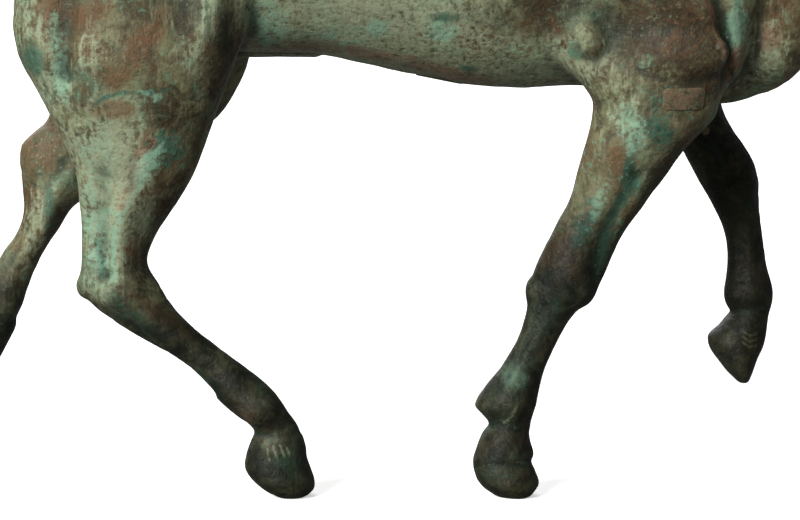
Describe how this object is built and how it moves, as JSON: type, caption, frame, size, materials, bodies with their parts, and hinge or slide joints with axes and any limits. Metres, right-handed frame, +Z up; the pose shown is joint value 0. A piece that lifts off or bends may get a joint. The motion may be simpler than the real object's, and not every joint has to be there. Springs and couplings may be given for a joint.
{
  "type": "horse statuette",
  "caption": "Trotting horse statuette in green patinated bronze, cast hollow in pinned sections, with tapped bushes in the hooves that stand on a plinth.",
  "frame": {"origin": "on the plane of the plinth's top, under the middle of the statue's length and width", "axes": "+X towards the horse's head, +Y towards the horse's left side, +Z up"},
  "size_m": [0.6945, 0.144, 0.5499],
  "materials": {
    "patinated_bronze": "mottled green and brown verdigris over bronze, brushed and pitted",
    "pin_bronze": "dull copper brown",
    "bush_bronze": "machined bronze"
  },
  "bodies": {
    "root": {"torso": "patinated_bronze", "neck": "patinated_bronze", "head": "patinated_bronze", "right_ear": "patinated_bronze", "left_ear": "patinated_bronze", "mane": "patinated_bronze", "forelock": "patinated_bronze", "tail": "patinated_bronze", "right_fore_leg": "patinated_bronze", "left_fore_leg": "patinated_bronze", "right_hind_leg": "patinated_bronze", "left_hind_leg": "patinated_bronze", "right_fore_pin": "pin_bronze", "left_fore_pin": "pin_bronze", "right_hind_pin": "pin_bronze", "left_hind_pin": "pin_bronze", "right_neck_pins": "pin_bronze", "left_neck_pins": "pin_bronze", "tail_pin": "pin_bronze", "mane_pegs": "pin_bronze", "neck_sleeve": "pin_bronze", "head_dowel": "pin_bronze", "core_plug": "pin_bronze", "repair_patch": "pin_bronze", "chaplets": "pin_bronze", "right_fore_stud_bush": "bush_bronze", "right_hind_stud_bush": "bush_bronze"}
  },
  "joints": []
}
